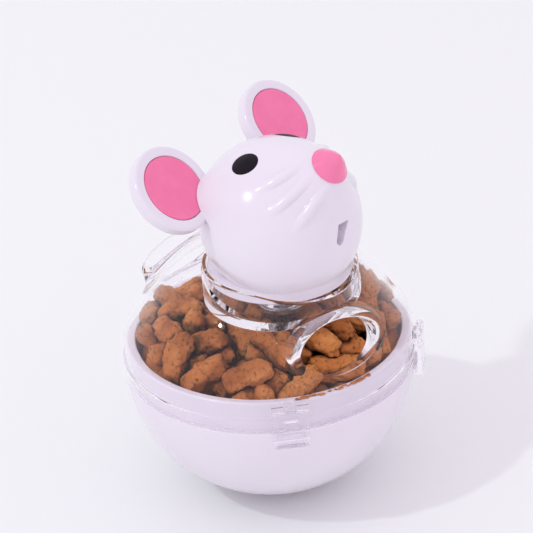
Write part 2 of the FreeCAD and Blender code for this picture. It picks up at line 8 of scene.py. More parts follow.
import bmesh
import bpy
import numpy as np
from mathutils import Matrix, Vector


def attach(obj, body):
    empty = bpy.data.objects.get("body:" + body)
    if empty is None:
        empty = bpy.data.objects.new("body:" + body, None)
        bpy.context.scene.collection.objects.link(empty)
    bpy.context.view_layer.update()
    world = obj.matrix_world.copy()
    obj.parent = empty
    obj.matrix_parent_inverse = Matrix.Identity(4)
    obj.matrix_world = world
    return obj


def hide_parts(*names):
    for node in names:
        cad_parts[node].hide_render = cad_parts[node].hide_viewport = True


MM = 0.001
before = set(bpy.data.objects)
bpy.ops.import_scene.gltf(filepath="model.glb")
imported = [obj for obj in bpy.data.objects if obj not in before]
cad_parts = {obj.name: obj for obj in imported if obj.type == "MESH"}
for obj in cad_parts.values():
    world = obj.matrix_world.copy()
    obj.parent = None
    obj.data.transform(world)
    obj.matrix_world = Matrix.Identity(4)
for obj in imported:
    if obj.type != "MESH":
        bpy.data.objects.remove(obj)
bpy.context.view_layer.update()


def linked(name, data):
    """New object in the scene that shows the given data."""
    obj = bpy.data.objects.new(name, data)
    bpy.context.scene.collection.objects.link(obj)
    return obj

# %% [markdown]
# The camera comes first, because everything else is seen through it. The photograph was taken
# with a long lens from the front left, about 29 degrees above the table, and held slightly crooked.
# The camera is described as a product photographer would: where it looks, from which side, how far.

# %% Camera
CAMERA_AZIMUTH = -52.4
CAMERA_ELEVATION = 29.3
CAMERA_ROLL = -3.61
CAMERA_DISTANCE = 598.3
LOOK_SIDE = 0.57
LOOK_HEIGHT = 65.35
FOCAL_PIXELS = 2225.86
PHOTO_PIXELS = 533.0
SENSOR = 36.0

# Azimuth turns about Z, elevation lifts, and roll turns about the view.
a, e, r = (math.radians(v) for v in (CAMERA_AZIMUTH, CAMERA_ELEVATION, CAMERA_ROLL))
view_back = np.array([math.sin(a) * math.cos(e), -math.cos(a) * math.cos(e), math.sin(e)])
level = np.array([math.cos(a), math.sin(a), 0.0])
rising = np.cross(view_back, level)
view_right = level * math.cos(r) + rising * math.sin(r)
view_up = rising * math.cos(r) - level * math.sin(r)
eye_point = level * LOOK_SIDE + (0, 0, LOOK_HEIGHT) + view_back * CAMERA_DISTANCE
camera_data = bpy.data.cameras.new("camera")
camera_data.sensor_width = SENSOR
camera_data.lens = FOCAL_PIXELS / PHOTO_PIXELS * SENSOR
camera = linked("camera", camera_data)
for row in range(3):
    for column, vector in enumerate((view_right, view_up, view_back)):
        camera.matrix_world[row][column] = vector[row]
    camera.matrix_world[row][3] = eye_point[row] * MM
bpy.context.scene.camera = camera
print("camera at", eye_point.round(1), "lens", round(camera_data.lens, 1))

# %% [markdown]
# Moulded pieces are mostly turned or swept shapes, so a few helpers make nearly all of them. A skin
# is a stack of rings of points, joined by quads. An outline is a list of corners, each with its own
# rounding, because no edge of a moulding is sharp. Arrays are filled whole, and one merge closes poles.

# %% Skins from rings of points
def mesh_object(name, points, faces):
    """New object from points in millimetres and an array of faces, a row of vertex numbers each."""
    mesh = bpy.data.meshes.new(name)
    mesh.vertices.add(points.size // 3)
    mesh.vertices.foreach_set("co", (points * MM).astype(np.float32).ravel())
    mesh.loops.add(faces.size)
    mesh.loops.foreach_set("vertex_index", faces.astype(np.int32).ravel())
    mesh.polygons.add(len(faces))
    mesh.polygons.foreach_set("loop_start", np.arange(0, faces.size, faces.shape[1], dtype=np.int32))
    mesh.update(calc_edges=True)
    return linked(name, mesh)


def skin(name, rings, loop_rows=False):
    """Closed skin over rings of points (rows, columns, 3) in millimetres.
    Rings run anticlockwise about their axis and rows run upwards on the outside, so faces look out.
    A ring drawn to one point makes a pole, and an open end ring is closed by one flat face."""
    rows, columns = rings.shape[:2]
    index = np.arange(rows * columns).reshape(rows, columns)
    here = index if loop_rows else index[:-1]
    above = np.roll(index, -1, 0) if loop_rows else index[1:]
    quads = np.stack([here, np.roll(here, -1, 1), np.roll(above, -1, 1), above], -1).reshape(-1, 4)
    obj = mesh_object(name, rings, quads)
    made = bmesh.new()
    made.from_mesh(obj.data)
    made.verts.ensure_lookup_table()
    if not loop_rows:
        for ring, flip in ((index[0], True), (index[-1], False)):
            if np.ptp(rings.reshape(-1, 3)[ring], axis=0).max() > 1e-4:
                corners = [made.verts[i] for i in ring]
                made.faces.new(corners[::-1] if flip else corners)
    bmesh.ops.remove_doubles(made, verts=made.verts, dist=1e-8)
    made.to_mesh(obj.data)
    made.free()
    return obj


# %% Outlines with rounded corners
ARC_STEP = math.radians(6)


def rounded(corners):
    """Closed outline through corners (x, y, radius), as an array of points.
    Each corner with a radius gives way to an arc that touches both of its sides."""
    points = []
    count = len(corners)
    for i in range(count):
        x, y, radius = corners[i]
        here = np.array([x, y])
        if radius == 0:
            points.append(here[None])
            continue
        before = np.array(corners[i - 1][:2]) - here
        after = np.array(corners[(i + 1) % count][:2]) - here
        before /= np.linalg.norm(before)
        after /= np.linalg.norm(after)
        half = math.acos(np.clip(before @ after, -1, 1)) / 2
        middle = before + after
        centre = here + middle / np.linalg.norm(middle) * radius / math.sin(half)
        turn = math.pi - 2 * half
        start = here + before * radius / math.tan(half) - centre
        sign = np.sign(before[1] * after[0] - before[0] * after[1])
        angles = np.linspace(0, sign * turn, max(3, int(turn / ARC_STEP) + 2))
        c, s = np.cos(angles), np.sin(angles)
        points.append(centre + np.stack([start[0] * c - start[1] * s, start[0] * s + start[1] * c], -1))
    return np.vstack(points)


def arc(centre, radius, first, last, count):
    """Corners without rounding along an arc; angles in degrees from the outline's first axis."""
    a = np.radians(np.linspace(first, last, count))
    return [(centre[0] + radius * math.cos(t), centre[1] + radius * math.sin(t), 0) for t in a]


def turned(name, corners, columns=240, centre=(0, 0, 0), axis=(0, 0, 1), place=None):
    """Outline of (radius, height, rounding) corners carried once round an axis, then put in place."""
    outline = rounded(corners)
    axis = np.array(axis) / np.linalg.norm(axis)
    side = np.cross((0, 1, 0), axis)
    side = side / np.linalg.norm(side)
    a = np.linspace(0, 2 * np.pi, columns, endpoint=False)
    circle = np.outer(np.cos(a), side) + np.outer(np.sin(a), np.cross(axis, side))
    radius, height = outline[:, 0, None, None], outline[:, 1, None, None]
    rings = np.array(centre) + radius * circle + height * axis
    on_axis = outline[0, 0] < 1e-9 and outline[-1, 0] < 1e-9
    return skin(name, place(rings) if place else rings, loop_rows=not on_axis)


def prism(name, corners, z0, z1, place=None):
    """Upright prism over a plan of (x, y, rounding) corners, then put in place."""
    outline = rounded(corners)
    rings = np.array([np.column_stack([outline, np.full(len(outline), z)]) for z in (z0, z1)])
    return skin(name, place(rings) if place else rings)


def round_plan(x, y, radius):
    """Round plan about a point."""
    a = np.linspace(0, 2 * np.pi, 48, endpoint=False)
    return np.stack([x + radius * np.cos(a), y + radius * np.sin(a), 0 * a], -1)


def place_level(points, azimuth):
    """Turn points made at azimuth 0 about the upright axis."""
    a = math.radians(azimuth)
    x, y, z = points[..., 0], points[..., 1], points[..., 2]
    return np.stack([x * math.cos(a) - y * math.sin(a), x * math.sin(a) + y * math.cos(a), z], -1)


# %% Joining and cutting
def apply_modifiers(obj):
    """Give the object the mesh that its modifiers make, and drop them."""
    bpy.context.view_layer.update()
    made = bpy.data.meshes.new_from_object(obj.evaluated_get(bpy.context.evaluated_depsgraph_get()))
    obj.modifiers.clear()
    obj.data = made


def combine(obj, others, how):
    """Join, cut or keep in common (UNION, DIFFERENCE, INTERSECT) closed skins; the others are used up."""
    for other in others:
        modifier = obj.modifiers.new(how.lower(), "BOOLEAN")
        modifier.operation = how
        modifier.solver = "MANIFOLD"
        modifier.object = other
        apply_modifiers(obj)
        bpy.data.objects.remove(other)
    return obj


SMOOTH_ANGLE = math.radians(28)


def finish(obj, body, look, nodes):
    """Smooth shading with crisp edges, a material, the body it rides on and the nodes it stands for."""
    mesh = obj.data
    mesh.materials.clear()
    mesh.materials.append(look)
    mesh.shade_smooth()
    mesh.set_sharp_from_angle(angle=SMOOTH_ANGLE)
    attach(obj, body)
    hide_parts(*nodes)
    print(obj.name, len(mesh.polygons), "faces")


# %% [markdown]
# Every finish is a Principled shader. Noise on Object coordinates gives each one the small unevenness
# of the real thing: a moulding's gloss changes slightly from place to place, because the tool's polish
# and the plastic's shrinkage do. A number that is the same everywhere is set on the shader's socket.

# %% Material helpers
def material(name, colour, roughness, **sockets):
    """New node material with one Principled shader; returns the material, its tree and the shader."""
    made = bpy.data.materials.new(name)
    made.use_nodes = True
    shader = made.node_tree.nodes["Principled BSDF"]
    shader.inputs["Base Color"].default_value = (*colour, 1)
    shader.inputs["Roughness"].default_value = roughness
    for key, value in sockets.items():
        shader.inputs[key.replace("_", " ")].default_value = value
    return made, made.node_tree, shader


def node(tree, kind, inputs, **settings):
    """Outputs of a new shader node, whose inputs are values or other nodes' outputs."""
    made = tree.nodes.new("ShaderNode" + kind)
    for key, value in settings.items():
        setattr(made, key, value)
    for key, value in inputs.items():
        if isinstance(value, bpy.types.NodeSocket):
            tree.links.new(value, made.inputs[key])
        else:
            made.inputs[key].default_value = value
    return made.outputs


def noise(tree, scale, detail=3.0, rough=0.5, stretch=(1, 1, 1)):
    """Noise on Object coordinates; scale is in features per metre."""
    place = node(tree, "Mapping", {"Vector": node(tree, "TexCoord", {})["Object"], "Scale": stretch})
    return node(tree, "TexNoise", {"Vector": place["Vector"], "Scale": scale, "Detail": detail,
                                   "Roughness": rough})["Fac"]


def spread(tree, value, low, high, start=0.3, end=0.7):
    """Map a noise value from start..end to low..high."""
    return node(tree, "MapRange", {"Value": value, "From Min": start, "From Max": end,
                                   "To Min": low, "To Max": high})["Result"]


def ramp(tree, value, stops):
    """Colour ramp with (position, colour) stops."""
    colour = node(tree, "ValToRGB", {"Fac": value})["Color"]
    elements = colour.node.color_ramp.elements
    while len(elements) < len(stops):
        elements.new(0.5)
    for element, (position, tone) in zip(elements, stops):
        element.position = position
        element.color = (*tone, 1)
    return colour


def bump(tree, shader, value, distance, strength=1.0):
    """Raise the surface's shading by a value times a distance in metres."""
    raised = node(tree, "Bump", {"Height": value, "Distance": distance, "Strength": strength})
    tree.links.new(raised["Normal"], shader.inputs["Normal"])


def uneven_gloss(tree, shader, value, low, high):
    """Let a noise value move the roughness between two values."""
    tree.links.new(spread(tree, value, low, high), shader.inputs["Roughness"])


# %% White glossy moulding
WHITE = (0.815, 0.765, 0.84)
WHITE_PLASTIC, tree, shader = material("white_moulding", WHITE, 0.16, Specular_IOR_Level=0.5)
cast = ramp(tree, noise(tree, 45, 2), [(0.35, (0.808, 0.757, 0.833)), (0.65, (0.825, 0.775, 0.848))])
tree.links.new(cast, shader.inputs["Base Color"])
uneven_gloss(tree, shader, noise(tree, 130, 4), 0.11, 0.2)
bump(tree, shader, noise(tree, 28, 1), 0.0009, 0.12)

# %% [markdown]
# The clear plastic lets the lamp's light pass straight through, and most of the light that bounces
# between the things under it, so the food and the rim are lit as they are under the real, thin cover.

# %% Clear moulding
BOUNCED_SHARE = 0.85
CLEAR_PLASTIC, tree, shader = material("clear_moulding", (1.0, 0.992, 1.0), 0.03,
                                       Transmission_Weight=1.0, IOR=1.3)
uneven_gloss(tree, shader, noise(tree, 90, 3), 0.004, 0.02)
bump(tree, shader, noise(tree, 22, 1), 0.0006, 0.05)
path = node(tree, "LightPath", {})
through = node(tree, "BsdfTransparent", {"Color": (0.995, 0.985, 1.0, 1)})
share = node(tree, "Math", {0: path["Is Diffuse Ray"], 1: BOUNCED_SHARE, 2: path["Is Shadow Ray"]},
             operation="MULTIPLY_ADD", use_clamp=True)
mix = node(tree, "MixShader", {"Fac": share["Value"], 1: shader.outputs["BSDF"], 2: through["BSDF"]})
tree.links.new(mix["Shader"], tree.nodes["Material Output"].inputs["Surface"])


# %% Pink, black and steel
def pink_plastic(name, low, high, gloss):
    """Pink moulding; fine noise makes its colour and gloss slightly uneven."""
    made, tree, shader = material(name, low, gloss)
    tree.links.new(ramp(tree, noise(tree, 260, 5), [(0.35, low), (0.65, high)]), shader.inputs["Base Color"])
    uneven_gloss(tree, shader, noise(tree, 900, 2), gloss - 0.05, gloss + 0.07)
    bump(tree, shader, noise(tree, 2500, 2), 0.00003, 0.35)
    return made


def steel(name, colour, roughness, grain):
    """Metal with drawn-out noise, as turning and plating leave it."""
    made, tree, shader = material(name, colour, roughness, Metallic=1.0)
    line = noise(tree, grain, 3, 0.6, (1, 1, 6))
    uneven_gloss(tree, shader, line, roughness - 0.1, roughness + 0.12)
    bump(tree, shader, line, 0.00002, 0.4)
    return made


PINK_PAD = pink_plastic("pink_pad", (0.90, 0.18, 0.375), (0.93, 0.20, 0.395), 0.5)
PINK_NOSE = pink_plastic("pink_nose", (0.90, 0.20, 0.395), (0.93, 0.22, 0.415), 0.2)
SCREW_STEEL = steel("screw_plating", (0.62, 0.62, 0.64), 0.3, 1200)
WEIGHT_STEEL = steel("weight_steel", (0.3, 0.3, 0.31), 0.5, 500)
BLACK_PLASTIC, tree, shader = material("black_bead", (0.010, 0.006, 0.011), 0.4, Specular_IOR_Level=0.1)
uneven_gloss(tree, shader, noise(tree, 1500, 3), 0.33, 0.47)
bump(tree, shader, noise(tree, 1800, 3), 0.00004, 0.3)
print("materials:", [m.name for m in bpy.data.materials])

# %% [markdown]
# The bowl is one turned moulding: a ball of 39.9 mm radius outside, cut flat by a small foot, with a
# ledge that meets the cover's skirt and a thin rim that stands inside it. The outline is walked once,
# up the outside and down the inside, and turned. The clips' catches are small blocks under the ledge,
# and on the floor stand a socket for the weight and three screw bosses.

# %% Bowl
BOWL_R = 39.9
BOWL_CENTRE = 39.5
BOWL_INNER_R = 37.8
INNER_BALL_TOP_Z = 27.0
LEDGE_Z = 37.9
RIM_OUTER_R = 38.1
RIM_INNER_R = 35.9
RIM_ROOT_R = 35.6
RIM_TOP_Z = 46.4
PAD_Z = 4.0
CATCH_W = 7.6
CATCH_R = 40.7
CATCH_ROOT_R = 38.6
CATCH_Z = (36.2, 37.5)
CLIP_AZIMUTHS = {"front": -46.5, "side": 28.1, "rear": 170.8}
SOCKET_R = (16.0, 17.6)
SOCKET_Z = (2.0, 9.0)
BOSS_CIRCLE_R = 23.0
BOSS_R = 3.2
BOSS_Z = 3.0
BOSS_AZIMUTHS = (30.0, 150.0, 270.0)
FLOOR_Z = 17.0
FLOOR_SCREW_R = 1.25
FLOOR_SCREW_Z = 11.2


def ball_arc(radius, low, high, count):
    """Corners on the bowl's ball surface from one height to another."""
    first, last = (math.degrees(math.asin((z - BOWL_CENTRE) / radius)) for z in (low, high))
    return arc((0, BOWL_CENTRE), radius, first, last, count)


def within_bowl(obj):
    """Trim a piece that stands on the bowl's floor to end inside the bowl's wall."""
    return combine(obj, [turned("trim", arc((0, BOWL_CENTRE), BOWL_R - 0.7, -90, 90, 61), 96)], "INTERSECT")


outside = ball_arc(BOWL_R, 0, LEDGE_Z, 60)
inside = ball_arc(BOWL_INNER_R, INNER_BALL_TOP_Z, PAD_Z, 40)
rim = [(outside[-1][0], LEDGE_Z, 0.25), (RIM_OUTER_R, LEDGE_Z, 0.15), (RIM_OUTER_R, RIM_TOP_Z, 0.6),
       (RIM_INNER_R, RIM_TOP_Z, 0.4), (RIM_ROOT_R, inside[0][1] + 1.4, 2.0)]
foot = [(0, 0, 0), (outside[0][0], 0, 0.3)]
bowl = turned("bowl_shell", foot + outside[1:-1] + rim + inside + [(0, PAD_Z, 0)], 288)

half = math.degrees(math.asin(CATCH_W / 2 / CATCH_R))
catch = ([(-CATCH_W / 2, -CATCH_ROOT_R, 0)] + arc((0, 0), CATCH_R, -90 - half + 0.6, -90 + half - 0.6, 9)
         + [(CATCH_W / 2, -CATCH_ROOT_R, 0)])
catches = [prism("catch", catch, *CATCH_Z, lambda p: place_level(p, azimuth))
           for azimuth in CLIP_AZIMUTHS.values()]
socket = turned("socket", [(SOCKET_R[0], SOCKET_Z[0], 0), (SOCKET_R[1], SOCKET_Z[0], 0),
                           (SOCKET_R[1], SOCKET_Z[1], 0.4), (SOCKET_R[0], SOCKET_Z[1], 0.4)], 120)
boss_places = [place_level(np.array([0.0, -BOSS_CIRCLE_R, 0.0]), azimuth) for azimuth in BOSS_AZIMUTHS]
bosses = [prism("boss", round_plan(x, y, BOSS_R), BOSS_Z, FLOOR_Z) for x, y, _ in boss_places]
bores = [prism("bore", round_plan(x, y, FLOOR_SCREW_R), FLOOR_SCREW_Z, FLOOR_Z + 1)
         for x, y, _ in boss_places]
combine(bowl, catches + [within_bowl(piece) for piece in [socket] + bosses], "UNION")
combine(bowl, bores, "DIFFERENCE")
finish(bowl, "base", WHITE_PLASTIC, ["bowl"])

# %% [markdown]
# The cover is the hardest piece. On the real object one clear moulding has a stepped skirt, a cone, a
# domed crown, two hooded oval outlets and a round collar beside the middle. The outside is a grid of
# rays from a point inside: each ray stops where it leaves the body, which is given by how far a point
# is from the dome and from each hood, blended so that the hoods grow out of the dome with a soft
# hollow. Holes, cavity and collar are then cut and joined, which leaves their edges crisp.

# %% Distances that describe the cover's outside
SKIRT_Z = 38.2
SKIRT_R = 40.0
SKIRT_STEP_Z = 41.9
BAND_R = 39.5
SKIRT_BORE_R = 38.4
CONE_R = 29.4
CONE_Z = 62.0
CONE_SLOPE = 0.74
CROWN_TANGENT_R = 31.8
COVER_WALL = 1.6
SHOULDER_R = 6.0
OUTLET_AZIMUTHS = (-21.4, 169.4)
OUTLET_RHO = 35.7
OUTLET_Z = 57.9
OUTLET_TILT = 17.0
OUTLET_HOLE = (11.6, 6.5)
OUTLET_LIP = (14.0, 7.9)
OUTLET_FLARE = 0.27
HOLE_DEPTH = 14.0
LIP_ROUND = 1.15
MOUTH_ROUND = LIP_ROUND * 0.8
HOOD_BLEND = 3.0
SLOPE = math.atan(CONE_SLOPE)
CROWN_R = CROWN_TANGENT_R / math.cos(SLOPE)
CROWN_TANGENT_Z = CONE_Z - (CROWN_TANGENT_R - CONE_R) / CONE_SLOPE
CROWN_CENTRE_Z = CROWN_TANGENT_Z - CROWN_R * math.sin(SLOPE)
RAY_CENTRE = np.array([0.0, 0.0, 41.0])


def dome_points(offset, band, radius, count):
    """Corners of the dome's outline from its upright band to the axis, moved inwards by offset."""
    slope_degrees = math.degrees(SLOPE)
    corner_z = CONE_Z - (band - (CONE_R - offset / math.cos(SLOPE))) / CONE_SLOPE
    centre = (band - radius, corner_z - radius * math.tan(SLOPE / 2))
    shoulder = arc(centre, radius, 0, slope_degrees, int(8 * count))
    crown = arc((0, CROWN_CENTRE_Z), CROWN_R - offset, slope_degrees, 90, int(44 * count))
    start, end = shoulder[-1], crown[0]
    straight = [tuple(np.array(start) + (np.array(end) - start) * t)
                for t in np.linspace(0, 1, int(10 * count))[1:-1]]
    return shoulder + straight + crown


def outlet_axes(azimuth):
    """Middle of an outlet's lip, and its level, rising and outward directions."""
    a, t = math.radians(azimuth), math.radians(OUTLET_TILT)
    out = np.array([math.sin(a), -math.cos(a), 0])
    normal = out * math.cos(t) + np.array([0, 0, math.sin(t)])
    level = np.array([math.cos(a), math.sin(a), 0])
    return out * OUTLET_RHO + np.array([0, 0, OUTLET_Z]), level, np.cross(normal, level), normal


def soft_max(a, b, width):
    """The larger of two values, rounded where they are within a width of each other."""
    near = np.maximum(width - np.abs(a - b), 0) / width
    return np.maximum(a, b) + near * near * width / 4


def from_dome(p):
    """Signed distance from the crown's ball, and from the cone under it."""
    rho = np.hypot(p[..., 0], p[..., 1])
    cone = (rho - CONE_R) * math.cos(SLOPE) + (p[..., 2] - CONE_Z) * math.sin(SLOPE)
    ball = np.hypot(rho, p[..., 2] - CROWN_CENTRE_Z) - CROWN_R
    high = np.arctan2(p[..., 2] - CROWN_CENTRE_Z, rho) > SLOPE
    return np.where(high, ball, cone)


def from_hood(p, azimuth):
    """Signed distance from an outlet's hood: an oval that widens inwards, its lip's edge rounded."""
    middle, level, rising, normal = outlet_axes(azimuth)
    q = p - middle
    depth = -(q @ normal)
    grow = OUTLET_FLARE * np.clip(depth, 0, 14)
    a = OUTLET_LIP[0] - LIP_ROUND + grow
    b = OUTLET_LIP[1] - LIP_ROUND + grow * 0.6
    u, v = q @ level, q @ rising
    oval = np.sqrt((u / a) ** 2 + (v / b) ** 2) + 1e-9
    slant = np.sqrt((u / a ** 2) ** 2 + (v / b ** 2) ** 2) + 1e-9
    beside = (oval - 1) * oval / slant
    above = LIP_ROUND - depth
    beside = beside * math.cos(math.atan(OUTLET_FLARE))
    outside = np.hypot(np.maximum(beside, 0), np.maximum(above, 0))
    return outside + np.minimum(np.maximum(beside, above), 0) - LIP_ROUND


def from_body(p):
    """Signed distance from dome and hoods together, blended where they meet."""
    gap = from_dome(p)
    for azimuth in OUTLET_AZIMUTHS:
        gap = -soft_max(-gap, -from_hood(p, azimuth), HOOD_BLEND)
    return gap


# %% The cover's outside, ray by ray
TRACE_START = 14.0
TRACE_STEPS = 60
TRACE_SHARE = 0.8
HOOD_SPAN = 28
HOOD_STEP, PLAIN_STEP = 0.45, 1.2


def spaced(stations):
    """Values that pass through stations (value, step to the next), evenly spaced between them."""
    parts = [np.linspace(v0, v1, max(2, int(math.ceil(abs(v1 - v0) / step)) + 1))[:-1]
             for (v0, step), (v1, _) in zip(stations[:-1], stations[1:])]
    return np.concatenate(parts)


def traced(distance, rays, reach):
    """How far along each ray a surface lies, stepping inwards by most of the distance left to it."""
    far = reach + TRACE_START
    for _ in range(TRACE_STEPS):
        far = far - distance(RAY_CENTRE + rays * far[..., None]) * TRACE_SHARE
    return far


def oval_solid(name, azimuth, stations, columns=160):
    """Solid through ovals on an outlet's axis; a station is (height, long half axis, short half axis)."""
    middle, level, rising, normal = outlet_axes(azimuth)
    a = np.linspace(0, 2 * np.pi, columns, endpoint=False)
    rings = [middle + normal * h + np.outer(np.cos(a) * long, level) + np.outer(np.sin(a) * short, rising)
             for h, long, short in stations]
    return skin(name, np.array(rings))


# The outside is the turned outline, lifted along rays where a hood stands out. The lift is how much
# further out the blended body lies than the plain dome on the same ray.
skirt = rounded([(0, SKIRT_Z, 0), (SKIRT_R, SKIRT_Z, 0.3), (SKIRT_R, SKIRT_STEP_Z, 0.35),
                 (BAND_R, SKIRT_STEP_Z + 0.25, 0.12), (BAND_R, 44.0, 0)])
dome = np.array(dome_points(0, BAND_R, SHOULDER_R, 2.6))[:, :2]
outline = np.vstack([skirt, dome])
front, rear = OUTLET_AZIMUTHS
a = np.radians(spaced([(front - HOOD_SPAN, HOOD_STEP), (front + HOOD_SPAN, PLAIN_STEP),
                       (rear - HOOD_SPAN, HOOD_STEP), (rear + HOOD_SPAN, PLAIN_STEP),
                       (front - HOOD_SPAN + 360, 1)]))
radius, height = outline[:, 0, None], outline[:, 1, None]
points = np.stack([radius * np.sin(a), -radius * np.cos(a), height + 0 * a], -1)
first = len(skirt)
rays = points[first:] - RAY_CENTRE
reach = np.linalg.norm(rays, axis=-1)
rays = rays / reach[..., None]
lift = traced(from_body, rays, reach) - traced(from_dome, rays, reach)
points[first:] = RAY_CENTRE + rays * (reach + np.maximum(lift, 0))[..., None]
cover = skin("cover_shell", points)

# A hole through a hood has straight walls that open at the mouth in a quarter round.
long, short = OUTLET_HOLE
mouth = [(-MOUTH_ROUND * (1 - math.sin(t)), long + MOUTH_ROUND * (1 - math.cos(t)),
          short + MOUTH_ROUND * (1 - math.cos(t))) for t in np.radians(np.linspace(0, 90, 9))]
hole = ([(-HOLE_DEPTH, long + 1.2, short)] + mouth
        + [(3.0, mouth[-1][1] + 0.3, mouth[-1][2] + 0.3)])
cavity = ([(0, SKIRT_Z - 1, 0), (SKIRT_BORE_R, SKIRT_Z - 1, 0)]
          + dome_points(COVER_WALL, SKIRT_BORE_R, SHOULDER_R - COVER_WALL, 1.5))
combine(cover, [turned("cavity", cavity)], "DIFFERENCE")
combine(cover, [oval_solid("hole", azimuth, hole) for azimuth in OUTLET_AZIMUTHS], "DIFFERENCE")
print("cover with outlets", len(cover.data.polygons), "faces")

# %% [markdown]
# The collar stands 8 mm off the middle and holds the mouse's head. A web closes it, with a hub that
# guides the head's pivot. It is turned about its own axis and joined to the dome, and the well inside
# it is cut last, so that the dome's crown goes too.

# %% Collar, web and lugs
COLLAR_AZIMUTH = -20.6
COLLAR_OFFSET = 8.0
COLLAR_OUTER_R = 20.8
COLLAR_INNER_R = 19.6
COLLAR_TOP_Z = 71.5
WEB_Z = 61.0
WEB_TOP_Z = 62.5
HUB_R = 6.4
HUB_Z = 58.5
PIVOT_BORE_R = 4.0
PIN_RHO = 41.0
PIN_Z = 45.8
KNUCKLE_R = 1.2
LUG_W = 3.0
LEAN = math.tan(math.radians(16))
LEAN_FROM = 8.5
LEAN_AZIMUTH = math.radians(-10)
NECK = (COLLAR_OFFSET * math.sin(math.radians(COLLAR_AZIMUTH)),
        -COLLAR_OFFSET * math.cos(math.radians(COLLAR_AZIMUTH)), 0.0)
COLLAR = [(0, HUB_Z, 0), (HUB_R, HUB_Z, 0.3), (HUB_R, WEB_Z, 0.3), (COLLAR_OUTER_R, WEB_Z, 0.3),
          (COLLAR_OUTER_R, COLLAR_TOP_Z, 0.4), (0, COLLAR_TOP_Z, 0)]
WELL = [(0, HUB_Z - 1, 0), (PIVOT_BORE_R, HUB_Z - 1, 0), (PIVOT_BORE_R, WEB_TOP_Z, 0.25),
        (COLLAR_INNER_R, WEB_TOP_Z, 1.0), (COLLAR_INNER_R, COLLAR_TOP_Z, 0.35),
        (COLLAR_INNER_R + 6, COLLAR_TOP_Z + 0.02, 0), (COLLAR_INNER_R + 6, 90, 0), (0, 90, 0)]
LUG = ([(BAND_R - 0.6, PIN_Z - KNUCKLE_R, 0), (PIN_RHO, PIN_Z - KNUCKLE_R, 0)]
       + arc((PIN_RHO, PIN_Z), KNUCKLE_R, -75, 75, 12)
       + [(PIN_RHO, PIN_Z + KNUCKLE_R, 0), (BAND_R - 0.6, PIN_Z + KNUCKLE_R, 0)])


def lean_forward(obj):
    """Draw the collar's rim down on the face's side, where it leans forward with the dome."""
    co = np.empty(len(obj.data.vertices) * 3, np.float32)
    obj.data.vertices.foreach_get("co", co)
    p = co.reshape(-1, 3) / MM
    ahead = (p[:, 0] - NECK[0]) * math.sin(LEAN_AZIMUTH) - (p[:, 1] - NECK[1]) * math.cos(LEAN_AZIMUTH)
    drop = soft_max(np.zeros(len(p)), (ahead - LEAN_FROM) * LEAN, 0.8)
    p[:, 2] -= drop * np.clip((p[:, 2] - WEB_TOP_Z - 1) / (COLLAR_TOP_Z - WEB_TOP_Z - 1), 0, 1)
    obj.data.vertices.foreach_set("co", (p * MM).ravel())
    return obj


def side_view(azimuth):
    """Placing for a prism whose plan is (distance from the axis, height) at an azimuth."""
    return lambda p: place_level(np.stack([p[..., 2], -p[..., 0], p[..., 1]], -1), azimuth)


combine(cover, [lean_forward(turned("collar", COLLAR, centre=NECK))], "UNION")
combine(cover, [lean_forward(turned("well", WELL, centre=NECK))], "DIFFERENCE")
lugs = [prism("lug", LUG, LUG_W / 2, -LUG_W / 2, side_view(azimuth)) for azimuth in CLIP_AZIMUTHS.values()]
combine(cover, lugs, "UNION")
finish(cover, "cover", CLEAR_PLASTIC, ["cover"])

# %% [markdown]
# The head is a ball drawn out into a snout. Its skin is again one distance for each direction, this
# time from the ball's centre: the ball's own radius, or the cone that touches the ball and ends at the
# nose's flat seat, raised in front of the ears and where a whisker ridge runs. All of it is worked out
# in the face's own frame, X to the mouse's left ear, Y to its crown and Z out of its face, and placed.

# %% The head's skin as a distance for each direction
HEAD_Z = 83.0
HEAD_R = 22.4
HEAD_WALL = 1.8
HEAD_INNER_R = 20.6
HEAD_PITCH = 42.0
SNOUT_PITCH = 49.0
HEAD_SPLIT = 0.1
HEAD_FOOT_Z = 62.9
NOSE_SEAT = 26.6
NOSE_SEAT_R = 4.9
RIDGE_R = 1.5
RIDGE_BLEND = 0.9
SEAT_ANGLE = math.atan2(NOSE_SEAT_R, NOSE_SEAT)
SNOUT_ANGLE = SEAT_ANGLE + math.acos(HEAD_R / math.hypot(NOSE_SEAT, NOSE_SEAT_R))
SNOUT_TILT = math.radians(SNOUT_PITCH - HEAD_PITCH)
SNOUT_AXIS = np.array([0, math.sin(SNOUT_TILT), math.cos(SNOUT_TILT)])
WHISKERS = (((3.4, 6.6, 20.8), (9.3, 7.5, 18.5), (13.8, 9.0, 14.9)),
            ((3.4, 3.3, 21.5), (10.9, 2.5, 18.9), (16.3, 2.3, 14.8)),
            ((2.9, -0.3, 21.8), (8.9, -2.8, 19.9), (13.5, -5.0, 16.6)))
RIDGE_DEPTHS = (2.0, 0.5, 1.9)
EAR_ANGLE = math.radians(46.9)
LIP_RISE = 2.9
LIP_REACH = 12.0
LIP_HALF_WIDTH = math.radians(29)
BACK_DRAW = 1.7
BACK_INNER_R = 19.7
NECK_R = (19.3, 19.05)
NECK_Z = (72.2, 68.3)


def to_head(points):
    """From the face's frame to the object's: pitch the face up and move it to the head's centre."""
    a = math.radians(90 - HEAD_PITCH)
    x, y, z = points[..., 0], points[..., 1], points[..., 2]
    return np.stack([x + NECK[0], y * math.cos(a) - z * math.sin(a) + NECK[1],
                     y * math.sin(a) + z * math.cos(a) + HEAD_Z], -1)


